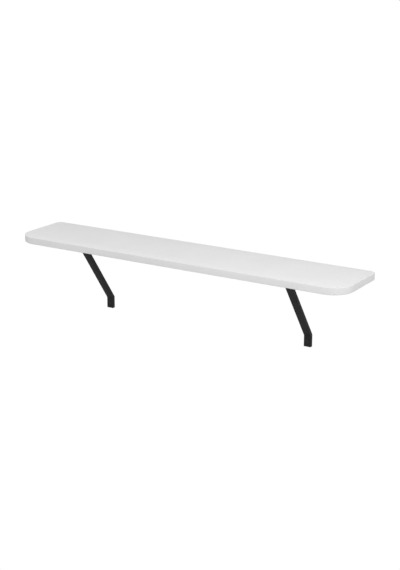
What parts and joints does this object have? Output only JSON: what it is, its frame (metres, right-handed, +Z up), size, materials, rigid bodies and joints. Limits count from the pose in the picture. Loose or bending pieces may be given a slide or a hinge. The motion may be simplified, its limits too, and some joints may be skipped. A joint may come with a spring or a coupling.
{
  "type": "wall shelf with brackets",
  "caption": "Long white wall shelf board with rounded plan corners on black steel brackets, each a strut from under the board down and back to a short foot on the wall.",
  "frame": {"origin": "middle of the board's back edge, at half the board's thickness, on the wall plane", "axes": "+X along the board to the right as seen from the front, +Y into the wall, +Z up"},
  "size_m": [1, 0.19, 0.229],
  "materials": {
    "laminate": "white melamine laminate, satin",
    "edge_band": "white plastic edging, satin",
    "chipboard": "raw chipboard",
    "powder_coat": "fine-textured black powder coat on steel",
    "black_plastic": "moulded black plastic",
    "zinc": "bright zinc plating"
  },
  "bodies": {
    "root": {"board_core": "chipboard", "top_laminate": "laminate", "bottom_laminate": "laminate", "edge_band": "edge_band", "left_arm": "powder_coat", "left_strut": "powder_coat", "left_foot": "powder_coat", "left_wall_plate": "powder_coat", "left_foot_plug": "black_plastic", "left_foot_cap": "black_plastic", "left_rear_screw": "zinc", "left_front_screw": "zinc", "right_arm": "powder_coat", "right_strut": "powder_coat", "right_foot": "powder_coat", "right_wall_plate": "powder_coat", "right_foot_plug": "black_plastic", "right_foot_cap": "black_plastic", "right_rear_screw": "zinc", "right_front_screw": "zinc"}
  },
  "joints": []
}
